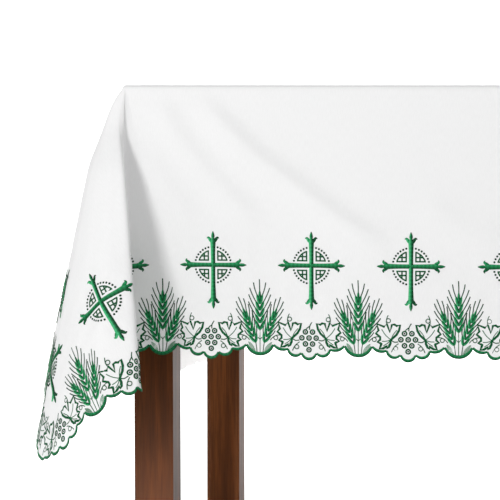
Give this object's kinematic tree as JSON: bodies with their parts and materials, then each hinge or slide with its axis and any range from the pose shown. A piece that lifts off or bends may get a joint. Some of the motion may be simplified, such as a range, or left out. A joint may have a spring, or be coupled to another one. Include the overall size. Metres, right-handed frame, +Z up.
{
  "type": "altar frontal cloth on a table",
  "caption": "Scalloped altar cloth with green satin-stitch crosses, wheat, vine leaves and grapes, laid over a plain wooden table and falling in corner folds.",
  "frame": {"origin": "on the floor under the middle of the table", "axes": "+X along the table's length, +Y from the front that faces the viewer to the back, +Z up"},
  "size_m": [1.9086, 1.2172, 0.95],
  "materials": {
    "cloth": "matte woven white cloth",
    "wood": "satin dark brown wood"
  },
  "bodies": {
    "root": {"cloth": "cloth", "table_top": "wood", "leg_front_left": "wood", "leg_front_right": "wood", "leg_back_left": "wood", "leg_back_right": "wood", "apron_front": "wood", "apron_back": "wood", "apron_left": "wood", "apron_right": "wood"}
  },
  "joints": []
}
